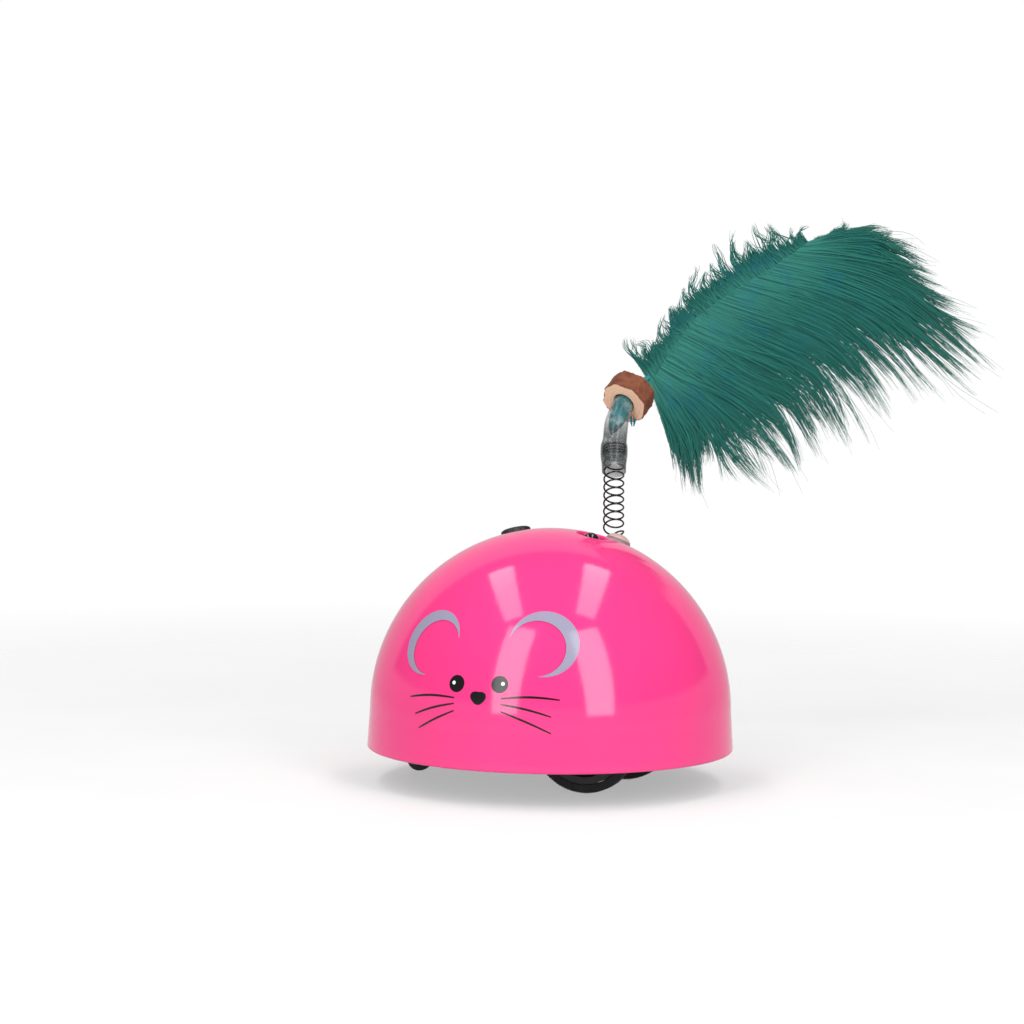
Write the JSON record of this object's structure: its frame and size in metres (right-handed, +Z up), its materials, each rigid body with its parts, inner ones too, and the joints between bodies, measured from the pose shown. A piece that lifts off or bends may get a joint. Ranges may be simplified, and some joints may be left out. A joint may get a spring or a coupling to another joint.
{
  "type": "robot mouse cat toy",
  "caption": "Battery-driven cat toy: a domed mouse that rolls on two drive wheels and a caster, with a feather wand on a coil spring as its tail.",
  "frame": {"origin": "on the dome's axis, on the underside of the base plate", "axes": "+Z up along the dome's axis; the toy rolls towards -X; the printed mouse face looks towards -Y"},
  "size_m": [0.1761, 0.1681, 0.188],
  "materials": {
    "shell": "gloss",
    "base": "satin",
    "cell": "gloss",
    "steel": "satin",
    "screw": "satin",
    "gear": "satin",
    "brass": "satin",
    "copper": "satin",
    "frame": "satin",
    "hub": "satin",
    "tyre": "matte",
    "caster_rubber": "satin",
    "board": "satin",
    "chip": "satin",
    "button": "satin",
    "lens": "polished",
    "lead_red": "satin",
    "lead_black": "satin",
    "lead_white": "satin",
    "plug": "satin",
    "spring_wire": "gloss",
    "clear_tube": "gloss",
    "quill": "satin",
    "wood": "matte",
    "feather": "matte"
  },
  "bodies": {
    "chassis": {"dome_shell": "shell", "base_plate": "base", "battery_door": "base", "gear_cover": "base", "battery_cell_1": "cell", "battery_cell_2": "cell", "battery_bridge": "steel", "battery_contact_positive": "steel", "battery_contact_negative": "steel", "lower_gear_pin": "steel", "upper_gear_pin": "steel", "gearbox_plate_left": "frame", "gearbox_plate_right": "frame", "axle_bush_left": "brass", "axle_bush_right": "brass", "motor_can": "steel", "motor_end_cap": "gear", "circuit_board": "board", "controller_chip": "chip", "push_switch": "chip", "switch_carrier": "frame", "sensor_lens": "lens", "sensor_bezel": "chip", "motor_lead_red": "lead_red", "motor_lead_black": "lead_black", "battery_lead_red": "lead_red", "battery_lead_black": "lead_black", "switch_lead": "lead_white", "sensor_lead": "lead_white", "tail_plug": "plug", "dome_screw_1": "screw", "dome_screw_2": "screw", "dome_screw_3": "screw", "dome_screw_4": "screw", "gearbox_screw_1": "screw", "gearbox_screw_2": "screw", "door_screw": "screw"},
    "drive_axle": {"drive_axle": "steel", "axle_gear": "gear", "wheel_hub_left": "hub", "wheel_hub_right": "hub", "tyre_left": "tyre", "tyre_right": "tyre"},
    "lower_gear": {"lower_compound_gear": "gear"},
    "upper_gear": {"upper_compound_gear": "gear"},
    "rotor": {"motor_shaft": "steel", "motor_armature": "copper", "motor_pinion": "brass"},
    "caster": {"caster_fork": "hub", "caster_clip": "steel", "caster_pin": "steel"},
    "caster_wheel": {"caster_wheel": "caster_rubber"},
    "button": {"power_button": "button", "switch_stem": "gear"},
    "tail_spring": {"tail_spring": "spring_wire"},
    "wand": {"clear_tube": "clear_tube", "feather_quill": "quill", "wooden_bead": "wood", "feather": "feather"}
  },
  "joints": [
    {"name": "wheel_drive", "type": "hinge", "parent": "chassis", "child": "drive_axle", "pos_m": [0.0195, 0, 0.0054], "axis": [0, 1, 0], "continuous": true},
    {"name": "lower_gear_turn", "type": "hinge", "parent": "chassis", "child": "lower_gear", "pos_m": [0.01535, 0, 0.01679], "axis": [0, 1, 0], "continuous": true},
    {"name": "upper_gear_turn", "type": "hinge", "parent": "chassis", "child": "upper_gear", "pos_m": [0.0195, 0, 0.02818], "axis": [0, 1, 0], "continuous": true},
    {"name": "motor_turn", "type": "hinge", "parent": "chassis", "child": "rotor", "pos_m": [0.0195, 0, 0.0403], "axis": [0, 1, 0], "continuous": true},
    {"name": "caster_swivel", "type": "hinge", "parent": "chassis", "child": "caster", "pos_m": [-0.045, 0, 0], "axis": [0, 0, 1], "continuous": true},
    {"name": "caster_roll", "type": "hinge", "parent": "caster", "child": "caster_wheel", "pos_m": [-0.048, 0, -0.0087], "axis": [0, 1, 0], "continuous": true},
    {"name": "button_press", "type": "slide", "parent": "chassis", "child": "button", "axis": [0.2689, -0.1513, -0.9512], "range_m": [0, 0.0012], "stiffness_N_per_m": 400},
    {"name": "tail_nod", "type": "hinge", "parent": "chassis", "child": "tail_spring", "pos_m": [0.01071, 0.02611, 0.0752], "axis": [-0.3152, 0.7079, -0.632], "range_deg": [-35, 35], "stiffness_Nm_per_rad": 0.03, "deforming": ["tail_spring"]},
    {"name": "tail_sway", "type": "hinge", "parent": "tail_spring", "child": "wand", "pos_m": [0.00903, 0.02996, 0.0804], "axis": [0.9135, 0.4067, 0], "range_deg": [-35, 35], "stiffness_Nm_per_rad": 0.03}
  ],
  "couplings": [
    {"joint": "lower_gear_turn", "follows": "wheel_drive", "ratio": -3},
    {"joint": "upper_gear_turn", "follows": "wheel_drive", "ratio": 9},
    {"joint": "motor_turn", "follows": "wheel_drive", "ratio": -27}
  ]
}
